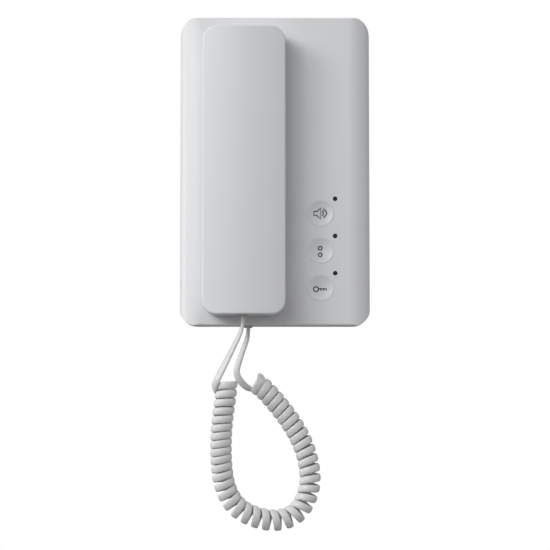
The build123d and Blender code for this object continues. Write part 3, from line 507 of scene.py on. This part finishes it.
axis_line = spline_through(coil_axis, axis_steps)
axis_heading = unit(np.gradient(axis_line, axis=0))
axis_along = np.concatenate([[0], np.cumsum(np.linalg.norm(np.diff(axis_line, axis=0), axis=1))])
share_along = np.linspace(0, 1, len(pitch_shares))
turn_share = np.linspace(0, 1, pitch_samples)
pitch_here = np.interp(turn_share, share_along, pitch_shares)
pitch_total = np.concatenate([[0], np.cumsum((pitch_here[1:] + pitch_here[:-1]) / 2)])
pitch_total /= pitch_total[-1]


def curl_points(turns):
    """Points on the curls and the way out from their axis; whole turns lie at the front."""
    last = axis_along[-1] - last_turn_before
    inner = np.clip(turns / coil_turns, 0, 1)
    along = first_turn_at + (last - first_turn_at) * np.interp(inner, turn_share, pitch_total)
    along += np.minimum(turns, 0) * end_pitch + np.maximum(turns - coil_turns, 0) * end_pitch
    middle = np.stack([np.interp(along, axis_along, axis_line[:, k]) for k in range(3)], axis=1)
    heading = unit(np.stack([np.interp(along, axis_along, axis_heading[:, k]) for k in range(3)], axis=1))
    front = np.array([0.0, -1.0, 0.0])
    out = unit(front - heading * (heading @ front)[:, None])
    across = np.cross(heading, out)
    angle = (2 * np.pi * turns)[:, None]
    outward = out * np.cos(angle) + across * np.sin(angle)
    return middle + outward * turn_radius, outward


turn_points = int((coil_turns + 2 * end_turn) * steps_per_turn) + 1
turns = np.linspace(-end_turn, coil_turns + end_turn, turn_points)
curls, curls_facing = curl_points(turns)
first_heading = unit(curls[1] - curls[0])
last_heading = unit(curls[-1] - curls[-2])
way_in = [p for p, _ in handset_end] + [curls[0] - first_heading * end_reach, curls[0]]
way_in_facing = [f for _, f in handset_end] + [curls_facing[0], curls_facing[0]]
way_out = [curls[-1], curls[-1] + last_heading * end_reach] + [p for p, _ in base_end]
way_out_facing = [curls_facing[-1], curls_facing[-1]] + [f for _, f in base_end]
lead_in = spline_through(way_in, lead_steps)
lead_in_facing = spline_through(way_in_facing, lead_steps)
lead_out = spline_through(way_out, lead_steps)
lead_out_facing = spline_through(way_out_facing, lead_steps)


def cord_frames(line, facing, swell):
    """One placing of the cord's section at each point of its line, fuller in the curls."""
    heading = unit(np.gradient(line, axis=0))
    flat = unit(facing - heading * (heading * facing).sum(axis=1, keepdims=True))
    across = np.cross(heading, flat)
    frames = []
    for point, a, b, c in zip(line, across, flat * swell[:, None], heading):
        frames.append(Matrix(((a[0], b[0], c[0], point[0]), (a[1], b[1], c[1], point[1]),
                              (a[2], b[2], c[2], point[2]), (0, 0, 0, 1))))
    return frames


def squared(value, size):
    """A coordinate of the flat section, fuller at the corners than an ellipse."""
    return math.copysign(abs(value) ** (2 / section_squareness), value) * size / 2


cord_pvc = satin_plastic("cord_white_pvc", (0.75, 0.75, 0.75), 0.36, grain=1400.0, depth=0.00001)


def flat_cord(name, line, facing, swell):
    """The cord's section, pulled along its line one step at a time."""
    frames = cord_frames(line, facing, swell)
    bm = bmesh.new()
    made = bmesh.ops.create_circle(bm, cap_ends=False, segments=section_sides, radius=1.0)
    ring = list(made["verts"])
    section = [Vector((squared(v.co.x, cord_width), squared(v.co.y, cord_thick), 0)) for v in ring]
    for vert, place in zip(ring, section):
        vert.co = frames[0] @ place
    first = list(bm.edges)
    edges = first
    for step in frames[1:]:
        order = {vert: i for i, vert in enumerate(ring)}
        grown = bmesh.ops.extrude_edge_only(bm, edges=edges)["geom"]
        edges = [g for g in grown if isinstance(g, bmesh.types.BMEdge)]
        fresh = [g for g in grown if isinstance(g, bmesh.types.BMVert)]
        ring = [None] * section_sides
        for vert in fresh:
            old = next(e.other_vert(vert) for e in vert.link_edges if e.other_vert(vert) in order)
            ring[order[old]] = vert
        for vert, place in zip(ring, section):
            vert.co = step @ place
    bmesh.ops.edgeloop_fill(bm, edges=first)
    bmesh.ops.edgeloop_fill(bm, edges=edges)
    bmesh.ops.recalc_face_normals(bm, faces=bm.faces)
    set_shading(bm, round_angle)
    mesh = bpy.data.meshes.new(name)
    bm.to_mesh(mesh)
    bm.free()
    piece = bpy.data.objects.new(name, mesh)
    bpy.context.scene.collection.objects.link(piece)
    mesh.materials.append(cord_pvc)
    return piece


handset_side_turns = 9.5
base_side_turns = 28.5
turns_to_end = np.minimum(turns + end_turn, coil_turns + end_turn - turns)
swell = 1 + (curl_swell - 1) * np.clip(turns_to_end / swell_turns, 0, 1)
cut_in = int(np.argmin(abs(turns - handset_side_turns)))
cut_out = int(np.argmin(abs(turns - base_side_turns)))
line_in = np.concatenate([lead_in[:-1], curls[:cut_in + 1]])
face_in = np.concatenate([lead_in_facing[:-1], curls_facing[:cut_in + 1]])
swell_in = np.concatenate([np.ones(len(lead_in) - 1), swell[:cut_in + 1]])
line_out = np.concatenate([curls[cut_out:], lead_out[1:]])
face_out = np.concatenate([curls_facing[cut_out:], lead_out_facing[1:]])
swell_out = np.concatenate([swell[cut_out:], np.ones(len(lead_out) - 1)])
cord_handset = flat_cord("cord_handset_side", line_in, face_in, swell_in)
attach(cord_handset, "handset")
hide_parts("cord_lead_handset")
cord_base = flat_cord("cord_base_side", line_out[::-1], face_out[::-1], swell_out[::-1])
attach(cord_base, "base")
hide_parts("cord_lead_base")
cord_loop = flat_cord("cord_loop", curls[cut_in:cut_out + 1], curls_facing[cut_in:cut_out + 1],
                      swell[cut_in:cut_out + 1])
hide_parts("cord_coil")
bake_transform(cord_loop)

# Studio
# A pale floor far below, soft boxes at the front and the left, a reflector at the
# right and a white surround, as in a cut-out product photograph.
floor_half_size = 1.3
floor_height = -2.2
floor_mesh = bpy.data.meshes.new("studio_floor")
bm = bmesh.new()
bmesh.ops.create_grid(bm, x_segments=8, y_segments=8, size=floor_half_size)
bmesh.ops.translate(bm, verts=bm.verts, vec=(0, 0, floor_height))
bm.to_mesh(floor_mesh)
bm.free()
floor = bpy.data.objects.new("studio_floor", floor_mesh)
bpy.context.scene.collection.objects.link(floor)
floor_paper = satin_plastic("studio_floor_pale", (0.86, 0.86, 0.86), 0.8, grain=40.0, depth=0.0002)
floor_mesh.materials.append(floor_paper)


def soft_light(name, place, target, size, power):
    light = bpy.data.lights.new(name, "AREA")
    light.shape = "DISK"
    light.size = size
    light.energy = power
    lamp = bpy.data.objects.new(name, light)
    bpy.context.scene.collection.objects.link(lamp)
    lamp.location = place
    lamp.rotation_euler = (Vector(target) - Vector(place)).to_track_quat("-Z", "Y").to_euler()


subject = (0.0, -0.02, -0.06)
light_distance = 2.2
for name, direction, size, power in (
        ("front_softbox", (-0.40, -0.88, 0.30), 1.2, 9.0),
        ("upper_left_softbox", (-0.60, -0.62, 0.50), 1.1, 11.5),
        ("left_softbox", (-0.80, -0.50, 0.45), 0.85, 11.3),
        ("left_edge_light", (-0.93, 0.22, 0.08), 1.0, 10.5),
        ("right_reflector", (0.97, -0.2, 0.1), 1.6, 8.5)):
    place = Vector(subject) + Vector(direction).normalized() * light_distance
    soft_light(name, place, subject, size, power)

ambient_below = 0.02
ambient_above = 0.46
world = bpy.data.worlds.new("studio_surround")
bpy.context.scene.world = world
world.use_nodes = True
nodes, links = node_links(world)
backdrop = nodes["Background"]
backdrop.inputs["Color"].default_value = (1, 1, 1, 1)
backdrop.inputs["Strength"].default_value = 1.0
ambient = nodes.new("ShaderNodeBackground")
ambient.inputs["Color"].default_value = (1, 1, 1, 1)
above = nodes.new("ShaderNodeTexCoord")
height = nodes.new("ShaderNodeSeparateXYZ")
falloff = nodes.new("ShaderNodeMapRange")
falloff.inputs["From Min"].default_value = -1.0
falloff.inputs["From Max"].default_value = 1.0
falloff.inputs["To Min"].default_value = ambient_below
falloff.inputs["To Max"].default_value = ambient_above
ray = nodes.new("ShaderNodeLightPath")
choose = nodes.new("ShaderNodeMixShader")
links.new(above.outputs["Generated"], height.inputs["Vector"])
links.new(height.outputs["Z"], falloff.inputs["Value"])
links.new(falloff.outputs["Result"], ambient.inputs["Strength"])
links.new(ray.outputs["Is Camera Ray"], choose.inputs["Fac"])
links.new(ambient.outputs["Background"], choose.inputs[1])
links.new(backdrop.outputs["Background"], choose.inputs[2])
links.new(choose.outputs["Shader"], nodes["World Output"].inputs["Surface"])
bpy.context.scene.view_settings.view_transform = "Standard"
bpy.context.scene.view_settings.look = "None"

# Camera
# A long lens in front of the base and a little below its middle, looking up at it.
film_width = 36.0
frame_pixels = 550
focal_pixels = 1856.0
camera_tilt = 4.0
camera_aim = -0.0657
camera_side = 0.0001
camera_distance = 1.2
aim_depth = 0.005
camera_data = bpy.data.cameras.new("camera")
camera_data.sensor_width = film_width
camera_data.lens = focal_pixels * film_width / frame_pixels
camera = bpy.data.objects.new("camera", camera_data)
bpy.context.scene.collection.objects.link(camera)
camera_drop = (camera_distance - aim_depth) * math.tan(math.radians(camera_tilt))
camera.location = (camera_side, -camera_distance, camera_aim - camera_drop)
camera.rotation_euler = (math.radians(90 + camera_tilt), 0, 0)
bpy.context.scene.camera = camera
